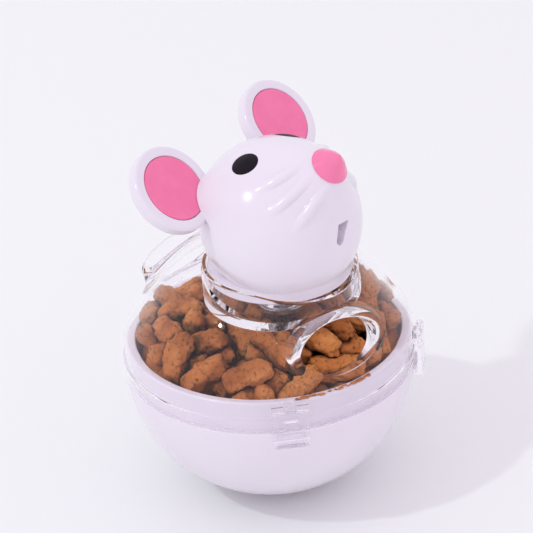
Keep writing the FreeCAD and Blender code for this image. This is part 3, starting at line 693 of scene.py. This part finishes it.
def plain_skin(directions):
    """Distance to the ball, to the snout's cone or to the nose's flat seat, for unit directions."""
    angle = np.arccos(np.clip(directions @ SNOUT_AXIS, -1, 1))
    cone = HEAD_R / np.cos(np.maximum(SNOUT_ANGLE - angle, 0))
    seat = NOSE_SEAT / np.cos(np.minimum(angle, SEAT_ANGLE))
    return np.where(angle < SEAT_ANGLE, seat, cone)


def ridge_spine(points, side, count=48):
    """Curve through three skin points of a ridge, its ends sunk under the skin."""
    p = np.array(points) * (side, 1, 1)
    p = p / np.linalg.norm(p, axis=1)[:, None]
    p = p * (plain_skin(p) - RIDGE_DEPTHS)[:, None]
    t = np.linspace(0, 1, count)[:, None]
    return p[0] * (1 - t) * (1 - 2 * t) + p[1] * 4 * t * (1 - t) + p[2] * t * (2 * t - 1)


def ridge_skin(directions, spine):
    """Distance to a round bar along a spine: the furthest exit from any ball threaded on it."""
    along = directions @ spine.T
    beside = np.maximum((spine ** 2).sum(1) - along ** 2, 0)
    missed = np.maximum(np.sqrt(beside) - RIDGE_R, 0)
    return (along + np.sqrt(np.maximum(RIDGE_R ** 2 - beside, 0)) - 2.0 * missed).max(-1)


def ear_lip(directions):
    """Rise of the skin in front of an ear: highest at the shells' joint, fading forwards and sideways."""
    along_plane = np.hypot(directions[..., 0], directions[..., 1]) + 1e-9
    bearing = np.arctan2(np.abs(directions[..., 0]), directions[..., 1]) - EAR_ANGLE
    sideways = (1 - np.clip(bearing / LIP_HALF_WIDTH, -1, 1) ** 2) ** 2
    forwards = np.clip(1 - HEAD_R * directions[..., 2] / along_plane / LIP_REACH, 0, 1)
    return LIP_RISE * sideways * forwards ** 2 * (directions[..., 2] > -0.05)


def head_skin(directions):
    """The plain skin raised by the ear lips and by the six whisker ridges."""
    out = plain_skin(directions) + ear_lip(directions)
    for side in (1, -1):
        for points in WHISKERS:
            out = soft_max(out, ridge_skin(directions, ridge_spine(points, side)), RIDGE_BLEND)
    return out


def back_skin(directions):
    """The plain skin drawn in a little towards the back of the head."""
    t = np.clip(-directions[..., 2] / 0.6, 0, 1)
    return plain_skin(directions) - BACK_DRAW * t * t * (3 - 2 * t)


def around_snout(name, distance, columns=400):
    """Closed skin at a distance for each direction, its rings about the snout's axis."""
    seat, back = math.degrees(SEAT_ANGLE), 180
    angle = np.radians(np.append(spaced([(0, 2), (seat, 0.8), (98, 1.6), (back, 1)]), back))[::-1, None]
    a = np.linspace(0, 2 * np.pi, columns, endpoint=False)
    x, y, z = np.sin(angle) * np.cos(a), np.sin(angle) * np.sin(a), np.cos(angle) + 0 * a
    c, s = math.cos(SNOUT_TILT), math.sin(SNOUT_TILT)
    directions = np.stack([x, y * c + z * s, z * c - y * s], -1)
    return skin(name, to_head(directions * distance(directions)[..., None]))


def with_neck(head):
    """Add the short upright neck on which the head stands in the collar."""
    outline = [(0, NECK_Z[1], 0), (NECK_R[1], NECK_Z[1], 0.5), (NECK_R[0], NECK_Z[0], 0),
               (0, NECK_Z[0] + 1, 0)]
    return combine(head, [turned("neck", outline, centre=NECK)], "UNION")


def face_turned(name, corners, axis=(0, 0, 1), centre=(0, 0, 0), columns=96):
    """Outline turned about an axis in the face's frame."""
    return turned(name, corners, columns, centre, axis, to_head)


BLOCK = [(-60, -60, 0), (60, -60, 0), (60, 60, 0), (-60, 60, 0)]
EAR_DISTANCE = 31.9
EAR_R = 11.95
EAR_T = 4.4
EAR_PAD_R = 8.95
EYE_POS = (9.3, 16.2, 11.6)
EYE_R = 3.65
EYE_SEAT = 21.6
EARS = {"left": 1, "right": -1}


def ear_centre(side):
    """Middle of an ear in the face's frame."""
    return (side * EAR_DISTANCE * math.sin(EAR_ANGLE), EAR_DISTANCE * math.cos(EAR_ANGLE), 0.0)


# %% [markdown]
# The face shell is the front half of that skin with a 1.8 mm wall. The mouth is a blind groove under
# the snout with a boss behind its floor, a little askew, which gives the mouse its smirk. Shallow round
# seats take the eyes, and inside there are two screw posts and a thin spigot that centres the back
# shell. The lips in front of the ear roots, which hide the joint, already are in the skin.

# %% Face shell
MOUTH = [(-1.0, 2.75, 0.3), (-2.45, -2.0, 0.9), (-1.3, -3.35, 0.9), (0.0, -2.5, 0.6), (1.15, -0.2, 2.0),
         (3.2, 2.45, 0.25)]
MOUTH_FLOOR = 19.2
MOUTH_DIRECTION = np.array((-2.1, -12.47, 18.49))
MOUTH_BOSS_R = 4.4
SPIGOT = [(18.8, -2.8, 0), (19.9, -2.8, 0.2), (20.12, -2.3, 0), (20.12, HEAD_SPLIT, 0),
          (20.5, HEAD_SPLIT, 0), (20.5, 3.5, 0), (18.8, 2.0, 0)]
SCREW_POSTS = ((12.5, 5.0), (-12.5, 5.0))
POST_R = 3.2
HEAD_SCREW_R = 1.25
HEAD_SCREW_SEAT = -11.0
HEAD_SCREW_LENGTH = 17.0
mouth_axis = MOUTH_DIRECTION / np.linalg.norm(MOUTH_DIRECTION)
mouth_level = np.array([1.0, 0, 0]) - mouth_axis * mouth_axis[0]
mouth_level = mouth_level / np.linalg.norm(mouth_level)
mouth_up = np.cross(mouth_axis, mouth_level)


def at_mouth(p):
    """Placing for the mouth's groove: its depth runs along the mouth's axis."""
    return to_head(p[..., 2:] * mouth_axis + p[..., :1] * mouth_level + p[..., 1:2] * mouth_up)


def half_ball(radius):
    """Half section of a ball about the face's axis."""
    return arc((0, 0), radius, -90, 90, 61)


def posts(radius, z0, z1, ball=None):
    """Bars at the screw posts, trimmed by a ball to end in the shell's wall when asked."""
    bars = [prism("post", round_plan(x, y, radius), z0, z1, to_head) for x, y in SCREW_POSTS]
    if ball:
        for bar in bars:
            combine(bar, [face_turned("trim", half_ball(ball))], "INTERSECT")
    return bars


face = with_neck(around_snout("face_shell", head_skin))
combine(face, [prism("front_half", BLOCK, HEAD_SPLIT, 60, to_head)], "INTERSECT")
combine(face, [face_turned("inside", half_ball(HEAD_INNER_R), columns=120)], "DIFFERENCE")
boss = [(0, MOUTH_FLOOR - 1.3, 0), (MOUTH_BOSS_R, MOUTH_FLOOR - 1.3, 0.3),
        (MOUTH_BOSS_R, MOUTH_FLOOR + 2.1, 0), (0, MOUTH_FLOOR + 2.1, 0)]
added = [face_turned("spigot", SPIGOT, columns=120), face_turned("boss", boss, MOUTH_DIRECTION)]
combine(face, added + posts(POST_R, HEAD_SPLIT, 22, HEAD_R - 0.6), "UNION")
screw_end = HEAD_SCREW_SEAT + HEAD_SCREW_LENGTH + 0.6
combine(face, posts(HEAD_SCREW_R, HEAD_SPLIT - 4, screw_end), "DIFFERENCE")
combine(face, [prism("mouth_groove", MOUTH, MOUTH_FLOOR, 27, at_mouth)], "DIFFERENCE")
seat = [(0, EYE_SEAT, 0), (EYE_R, EYE_SEAT, 0), (EYE_R, 30, 0), (0, 30, 0)]
seats = [face_turned("seat", seat, (EYE_POS[0] * s, *EYE_POS[1:])) for s in EARS.values()]
combine(face, seats, "DIFFERENCE")
finish(face, "head", WHITE_PLASTIC, ["head_front"])

# %% [markdown]
# The back shell is the other half, and both ears are moulded with it: round cups with a thick soft
# rim and a shallow recess for the pink disc. Its floor is cut level and carries the pivot.

# %% Back shell with the ears
EAR_BACK = HEAD_SPLIT - EAR_T
EAR_RECESS = HEAD_SPLIT - 1.3
EAR = [(0, EAR_BACK - 0.5, 0), (EAR_R * 0.55, EAR_BACK - 0.35, 12), (EAR_R, EAR_BACK + 0.25, 1.9),
       (EAR_R, HEAD_SPLIT, 0.9), (EAR_PAD_R + 0.15, HEAD_SPLIT, 0.35), (EAR_PAD_R + 0.1, EAR_RECESS, 0.1),
       (0, EAR_RECESS, 0)]
REBATE = [(18.6, -3, 0), (20.14, -3, 0), (20.14, 0.5, 0), (18.6, 0.5, 0)]
JOURNAL_R = 3.93
JOURNAL_END_Z = 58.2
PIVOT_SCREW_R = 1.25
PIVOT_BOSS_R = 4.6
PIVOT = [(PIVOT_SCREW_R, JOURNAL_END_Z, 0), (JOURNAL_R, JOURNAL_END_Z, 0.3), (JOURNAL_R, HEAD_FOOT_Z, 0.2),
         (JOURNAL_R, HEAD_FOOT_Z + 0.5, 0), (PIVOT_BOSS_R, HEAD_FOOT_Z + 0.6, 0), (PIVOT_BOSS_R, 70, 0.5),
         (PIVOT_SCREW_R, 70, 0)]
back = with_neck(around_snout("back_shell", back_skin, 240))
combine(back, [prism("back_half", BLOCK, -60, HEAD_SPLIT, to_head)], "INTERSECT")
combine(back, [prism("below", BLOCK, HEAD_FOOT_Z - 60, HEAD_FOOT_Z)], "DIFFERENCE")
cups = [face_turned("ear", EAR, centre=ear_centre(s), columns=160) for s in EARS.values()]
combine(back, cups, "UNION")
inner = face_turned("inside", half_ball(BACK_INNER_R), columns=120)
combine(inner, [prism("floor", BLOCK, 0, HEAD_FOOT_Z + HEAD_WALL)], "DIFFERENCE")
combine(back, [inner], "DIFFERENCE")
combine(back, posts(POST_R + 0.8, -22, HEAD_SPLIT, HEAD_R - BACK_DRAW - 0.6), "UNION")
combine(back, posts(HEAD_SCREW_R + 0.2, -30, 1) + posts(3.0, -30, HEAD_SCREW_SEAT), "DIFFERENCE")
combine(back, [face_turned("rebate", REBATE, columns=120)], "DIFFERENCE")
combine(back, [turned("pivot", PIVOT, 64, NECK)], "UNION")
finish(back, "head", WHITE_PLASTIC, ["head_back"])

# %% [markdown]
# The small colour pieces are turned too: pink discs that fill the ears, a short pink cone on the
# snout's seat, and the eyes, nearly flat dark buttons that lie flush in their seats.

# %% Ear discs, eyes and nose
NOSE_TIP = 31.8
NOSE_TIP_R = 0.8
NOSE_R = 5.2
DISC = ([(0, EAR_RECESS, 0), (EAR_PAD_R, EAR_RECESS, 0), (EAR_PAD_R, EAR_RECESS + 1.19, 0.25)]
        + [(r, EAR_RECESS + 0.98 + 0.2 * (r / EAR_PAD_R) ** 2, 0) for r in (6.0, 4.0, 2.0, 0.0)])
NOSE = ([(0, NOSE_SEAT - 5.5, 0), (1.5, NOSE_SEAT - 5.5, 0), (1.5, NOSE_SEAT, 0), (NOSE_R, NOSE_SEAT, 0.12),
         (NOSE_R, NOSE_SEAT + 0.3, 0.2), (3.15, NOSE_SEAT + 2.65, 3.0)]
        + arc((0, NOSE_TIP - NOSE_TIP_R), NOSE_TIP_R, 46, 90, 10))
r, edge, rise = EYE_R - 0.05, EYE_SEAT + 0.45, 0.55
ball = (r * r + rise * rise) / (2 * rise)
EYE = ([(0, 19.2, 0), (1.2, 19.2, 0), (1.2, EYE_SEAT, 0), (r, EYE_SEAT, 0)]
       + arc((0, edge + rise - ball), ball, math.degrees(math.acos(r / ball)), 90, 14))
for name, turn_side in EARS.items():
    disc = face_turned("ear_disc_" + name, DISC, centre=ear_centre(turn_side), columns=128)
    finish(disc, "head", PINK_PAD, ["ear_pad_" + name])
    bead = face_turned("eye_bead_" + name, EYE, (EYE_POS[0] * turn_side, *EYE_POS[1:]))
    finish(bead, "head", BLACK_PLASTIC, ["eye_" + name])
finish(face_turned("nose", NOSE, SNOUT_AXIS), "head", PINK_NOSE, ["nose_cone"])

# %% [markdown]
# The clips, pins, screws and inner pieces keep the shapes that the frame gives them. A node's mesh is
# loose triangles, which would shade as facets, so a merged copy takes its place, and the clips'
# edges get the small rounding that every moulded edge has.

# %% Clips and hidden hardware from the frame
def merged_copy(node_name, name):
    """Copy of a node's mesh with its loose triangles joined and flat faces made whole."""
    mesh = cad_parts[node_name].data.copy()
    mesh.name = name
    made = bmesh.new()
    made.from_mesh(mesh)
    bmesh.ops.remove_doubles(made, verts=made.verts, dist=1e-7)
    bmesh.ops.dissolve_limit(made, angle_limit=math.radians(0.5), verts=made.verts, edges=made.edges)
    made.to_mesh(mesh)
    made.free()
    return linked(name, mesh)


def round_edges(obj, width):
    """Small rounding of every edge sharper than 40 degrees."""
    modifier = obj.modifiers.new("edges", "BEVEL")
    modifier.width = width * MM
    modifier.segments = 2
    modifier.limit_method = "ANGLE"
    modifier.angle_limit = math.radians(40)
    apply_modifiers(obj)


KEPT = {"latch_pins": ("cover", CLEAR_PLASTIC, "clear"),
        "counterweight": ("base", WEIGHT_STEEL, "weight_steel"),
        "inner_floor": ("base", WHITE_PLASTIC, "white"),
        "floor_screws": ("base", SCREW_STEEL, "screw_steel"),
        "head_screws": ("head", SCREW_STEEL, "screw_steel"),
        "pivot_washer": ("head", SCREW_STEEL, "screw_steel"),
        "pivot_screw": ("head", SCREW_STEEL, "screw_steel")}
for clip in CLIP_AZIMUTHS:
    piece = merged_copy("latch_" + clip, "clip_" + clip)
    round_edges(piece, 0.12)
    finish(piece, "clip_" + clip, CLEAR_PLASTIC, ["latch_" + clip])
for hidden, (body, look, slot) in KEPT.items():
    finish(merged_copy(hidden, hidden + "_piece"), body, look, [hidden])

# %% [markdown]
# The toy is shown filled with dry food. A heap of food has no simple formula, so it is poured: every
# nugget is a rod of three balls that falls a little at each step, is pushed off its neighbours and off
# the bowl, the cover and the collar's web, and is then made straight again. After some hundred steps
# the rods rest in a heap as real ones would. All nuggets move together in one array.

# %% Pour the food
NUGGETS = 285
NUGGET_R = 2.95
NUGGET_REACH = 4.1
POUR_STEPS = 450
FALL = 0.1
FALLING_SHARE = 0.85
START_BOX = ((-26, -26, 24), (26, 26, 62))
TILT_SPREAD = 0.35
CROWDING = 0.35
PLATE_T = 1.8
PIVOT_KEEP_OUT = (7.4, 55.0)
rng = np.random.default_rng(20)


def push_below(p, radius, level):
    """Move balls out of a disc-shaped body about the neck that reaches up from a level."""
    q = p[:, :2] - NECK[:2]
    rho = np.hypot(q[:, 0], q[:, 1])
    beside = rho - radius
    under = level - p[:, 2]
    corner = np.hypot(np.maximum(beside, 0), np.maximum(under, 0))
    gap = np.where((beside > 0) | (under > 0), corner, np.maximum(beside, under)) - NUGGET_R
    depth = np.maximum(-gap, 0)
    sideways = np.maximum(beside, 0) / np.maximum(corner, 1e-6)
    down = np.where(beside > 0, np.maximum(under, 0) / np.maximum(corner, 1e-6), 1.0)
    p[:, :2] += (q / np.maximum(rho, 1e-6)[:, None]) * (depth * sideways)[:, None]
    p[:, 2] -= depth * down


def keep_inside(p):
    """Move balls back into the room between bowl, plate, rim, cover and the collar's web."""
    p[:, 2] = np.maximum(p[:, 2], FLOOR_Z + PLATE_T + NUGGET_R)
    low = p[:, 2] < BOWL_CENTRE
    q = p - (0, 0, BOWL_CENTRE)
    far = np.linalg.norm(q, axis=1)
    fit = np.where(low, np.minimum(1, (BOWL_INNER_R - NUGGET_R) / np.maximum(far, 1e-6)), 1)
    p[:] = q * fit[:, None] + (0, 0, BOWL_CENTRE)
    rho = np.hypot(p[:, 0], p[:, 1])
    p[:, :2] *= np.minimum(1, (RIM_ROOT_R - NUGGET_R) / np.maximum(rho, 1e-6))[:, None]
    over = np.maximum(from_dome(p) + COVER_WALL + NUGGET_R, 0)
    inwards = p[:, :2] / np.maximum(np.hypot(p[:, 0], p[:, 1]), 1e-6)[:, None]
    p[:, :2] -= inwards * (over * math.cos(SLOPE))[:, None]
    p[:, 2] -= over * math.sin(SLOPE)
    push_below(p, COLLAR_OUTER_R, WEB_Z)
    push_below(p, *PIVOT_KEEP_OUT)


turn, lift = rng.uniform(0, 2 * np.pi, NUGGETS), rng.normal(0, TILT_SPREAD, NUGGETS)
axis = np.stack([np.cos(turn) * np.cos(lift), np.sin(turn) * np.cos(lift), np.sin(lift)], -1)
middle = rng.uniform(*START_BOX, (NUGGETS, 3))
offsets = np.array([-1, 0, 1])[None, :, None] * NUGGET_REACH
owner = np.repeat(np.arange(NUGGETS), 3)
apart = owner[:, None] != owner[None, :]
for step in range(POUR_STEPS):
    p = (middle[:, None] + axis[:, None] * offsets).reshape(-1, 3)
    p[:, 2] -= FALL * max(0.0, 1 - step / (POUR_STEPS * FALLING_SHARE))
    square = (p ** 2).sum(1)
    first, second = np.nonzero((square[:, None] + square - 2 * p @ p.T < 4 * NUGGET_R ** 2) & apart)
    gap = p[first] - p[second]
    distance = np.linalg.norm(gap, axis=1) + 1e-6
    overlap = 2 * NUGGET_R - distance
    move = np.zeros_like(p)
    np.add.at(move, first, gap * (overlap / distance)[:, None] * 0.5)
    touching = np.maximum(np.bincount(first, minlength=len(p)), 1)
    p += move / (touching ** CROWDING)[:, None]
    keep_inside(p)
    p = p.reshape(-1, 3, 3)
    middle = p.mean(1)
    axis = p[:, 2] - p[:, 0]
    axis /= np.linalg.norm(axis, axis=1)[:, None]
print("overlap that is left: mean", round(float(overlap.mean()), 2),
      "most", round(float(overlap.max()), 2))
print("the heap reaches", middle[:, 2].max().round(1), "mm")

# %% [markdown]
# A nugget is a ball stretched to a blunt bar, bent a little and made lumpy by a sum of waves in many
# directions, the same sum for all of them but read at another place for each. The ones that can be
# seen get a fine ball, the ones under them a coarse one.

# %% Nuggets
NUGGET_HALF_SIZES = ((6.3, 2.8, 2.5), (7.6, 3.5, 3.1))
CRUMB_HALF_SIZES = ((0.3, 0.2, 0.15), (0.9, 0.35, 0.25))
BLUNTNESS = 4.5
BEND = 0.018
# How far the painted shade between nuggets reaches.
PAINTED_SHADE_REACH = 7.0
SEEN_FROM_Z = 43


def waves(points, size, count=14, seed=3):
    """Sum of sine waves in random directions; size is the length of a wave in millimetres."""
    own = np.random.default_rng(seed)
    direction = own.normal(size=(count, 3))
    direction /= np.linalg.norm(direction, axis=1)[:, None]
    direction *= own.uniform(0.7, 1.4, (count, 1)) * 2 * np.pi / size
    return np.sin(points @ direction.T + own.uniform(0, 6.28, count)).sum(-1) / math.sqrt(count / 2)


def nuggets(name, middle, axis, fineness, half_sizes=NUGGET_HALF_SIZES, lumps=1.0):
    """One mesh of many nuggets: each vertex of a ball is mapped to every nugget at once."""
    ball = bmesh.new()
    bmesh.ops.create_icosphere(ball, subdivisions=fineness, radius=1.0)
    n = np.array([v.co for v in ball.verts])
    faces = np.array([[v.index for v in f.verts] for f in ball.faces])
    ball.free()
    count = len(middle)
    blunt = (np.abs(n[:, 0]) ** BLUNTNESS + np.hypot(n[:, 1], n[:, 2]) ** BLUNTNESS) ** (-1 / BLUNTNESS)
    size = rng.uniform(*half_sizes, (count, 3))
    local = n[None] * blunt[None, :, None] * size[:, None]
    place = local + rng.uniform(-60, 60, (count, 1, 3))
    swell = 0.26 * waves(place, 9.0) + 0.2 * waves(place, 4.0, seed=4)
    swell += 0.2 * waves(place, 2.2, seed=5) + 0.1 * waves(place, 1.2, seed=6)
    local = local + n[None] * swell[..., None] * lumps
    local[..., 1] += rng.uniform(-BEND, BEND, (count, 1)) * local[..., 0] ** 2
    side = np.cross(axis, rng.normal(size=(count, 3)))
    side /= np.linalg.norm(side, axis=1)[:, None]
    frames = np.stack([axis, side, np.cross(axis, side)], 1)
    every = (faces[None] + (np.arange(count) * len(n))[:, None, None]).reshape(-1, 3)
    heap = mesh_object(name, middle[:, None] + local @ frames, every)
    heap.data.materials.append(FOOD)
    heap.data.shade_smooth()
    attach(heap, "base")
    print(name, count, "pieces", len(every), "faces")


FOOD, tree, shader = material("dry_food", (0.45, 0.17, 0.05), 0.75, Specular_IOR_Level=0.3)
brown = ramp(tree, noise(tree, 110, 3), [(0.3, (0.42, 0.125, 0.030)), (0.5, (0.64, 0.215, 0.056)),
                                         (0.7, (0.81, 0.33, 0.10))])
spots = spread(tree, noise(tree, 1000, 5), 0.35, 1.0, 0.3, 0.45)
# Ambient occlusion over the heap darkens the food's colour where the nuggets crowd each other: painted shade
# in the gaps, multiplied onto the food's real dark spots.
painted_gap_shade = node(tree, "AmbientOcclusion", {"Distance": PAINTED_SHADE_REACH * MM}, samples=8, only_local=True)["AO"]
shade = node(tree, "Math", {0: spots, 1: spread(tree, painted_gap_shade, 0.12, 1.0, 0.2, 0.72)}, operation="MULTIPLY")
mix = node(tree, "Mix", {"Factor": 1.0, "A": brown, "B": shade["Value"]}, data_type="RGBA",
           blend_type="MULTIPLY")
tree.links.new(mix["Result"], shader.inputs["Base Color"])
bump(tree, shader, noise(tree, 900, 6, 0.7), 0.0009, 1.0)
seen = middle[:, 2] > SEEN_FROM_Z
nuggets("kibble_top", middle[seen], axis[seen], 4)
nuggets("kibble_deep", middle[~seen], axis[~seen], 2)

# %% [markdown]
# Filling the bowl leaves a few crumbs on its rim, in the seam under the cover.

# %% Crumbs in the seam
CRUMBS = 46
CRUMB_AZIMUTHS = (-44, -10)
CRUMB_RADII = (37.0, 37.9)
bearing = np.radians(rng.uniform(*CRUMB_AZIMUTHS, CRUMBS))
radius = rng.uniform(*CRUMB_RADII, CRUMBS)
outward = np.stack([np.sin(bearing), -np.cos(bearing), np.zeros(CRUMBS)], -1)
middle = outward * radius[:, None] + (0, 0, RIM_TOP_Z + 0.2)
along_rim = np.stack([np.cos(bearing), np.sin(bearing), np.zeros(CRUMBS)], -1)
nuggets("crumbs", middle, along_rim, 2, CRUMB_HALF_SIZES, 0.2)

# %% [markdown]
# The toy stands on a pale floor that runs up into a pale backdrop, so no horizon shows. Most of the
# light comes from all sides with a trace of lavender, as from white paper walls round a product. One
# small lamp far off at the upper left adds the highlights and the crisp pale shadow to the right.

# %% Floor and light
PAPER = (0.892, 0.908, 0.895)
FLOOR_REACH = 900.0
BACKDROP_AT = 420.0
BACKDROP_BEND = 220.0
LAMP_TINT = (0.86, 1.0, 0.92)
LAMP_DIRECTION = (-0.615, 0.47, 0.633)
LAMP_DISTANCE = 2000
LAMP_SIZE = 80
LAMP_POWER = 6.3
LAMP_AIM = (0, 0, 50)
ROOM_TINT = (0.965, 0.9, 1.0)
ROOM_LIGHT = 0.97
a = np.linspace(0, np.pi / 2, 24)
run = np.concatenate([[-FLOOR_REACH], np.linspace(-FLOOR_REACH / 2, BACKDROP_AT, 12),
                      BACKDROP_AT + BACKDROP_BEND * np.sin(a)[1:], [BACKDROP_AT + BACKDROP_BEND]])
rise = np.concatenate([np.zeros(13), BACKDROP_BEND * (1 - np.cos(a[1:])), [FLOOR_REACH]])
away = -view_back * (1, 1, 0)
away = away / np.linalg.norm(away)
across = np.array([away[1], -away[0], 0])
sheet = np.array([away * r + (0, 0, h) + across * w for r, h in zip(run, rise)
                  for w in (-FLOOR_REACH, FLOOR_REACH)])
index = np.arange(len(run) - 1) * 2
floor = mesh_object("floor", sheet, np.stack([index, index + 1, index + 3, index + 2], -1))
floor.data.shade_smooth()
floor.data.materials.append(material("paper", PAPER, 0.85, Specular_IOR_Level=0.2)[0])

right, up, towards = LAMP_DIRECTION
towards_lamp = view_right * right + view_up * up + view_back * towards
towards_lamp = towards_lamp / np.linalg.norm(towards_lamp)
lamp = bpy.data.lights.new("key", "AREA")
lamp.size = LAMP_SIZE * MM
lamp.energy = LAMP_POWER
lamp.color = LAMP_TINT
key = linked("key", lamp)
key.location = (np.array(LAMP_AIM) + towards_lamp * LAMP_DISTANCE) * MM
key.rotation_euler = Vector(towards_lamp.tolist()).to_track_quat("Z", "Y").to_euler()
world = bpy.data.worlds.new("room")
bpy.context.scene.world = world
world.use_nodes = True
background = world.node_tree.nodes["Background"]
background.inputs["Color"].default_value = (*ROOM_TINT, 1)
background.inputs["Strength"].default_value = ROOM_LIGHT
bpy.context.scene.view_settings.view_transform = "Standard"
bpy.context.scene.cycles.max_bounces = 32
bpy.context.scene.cycles.glossy_bounces = 24
bpy.context.scene.cycles.transmission_bounces = 24
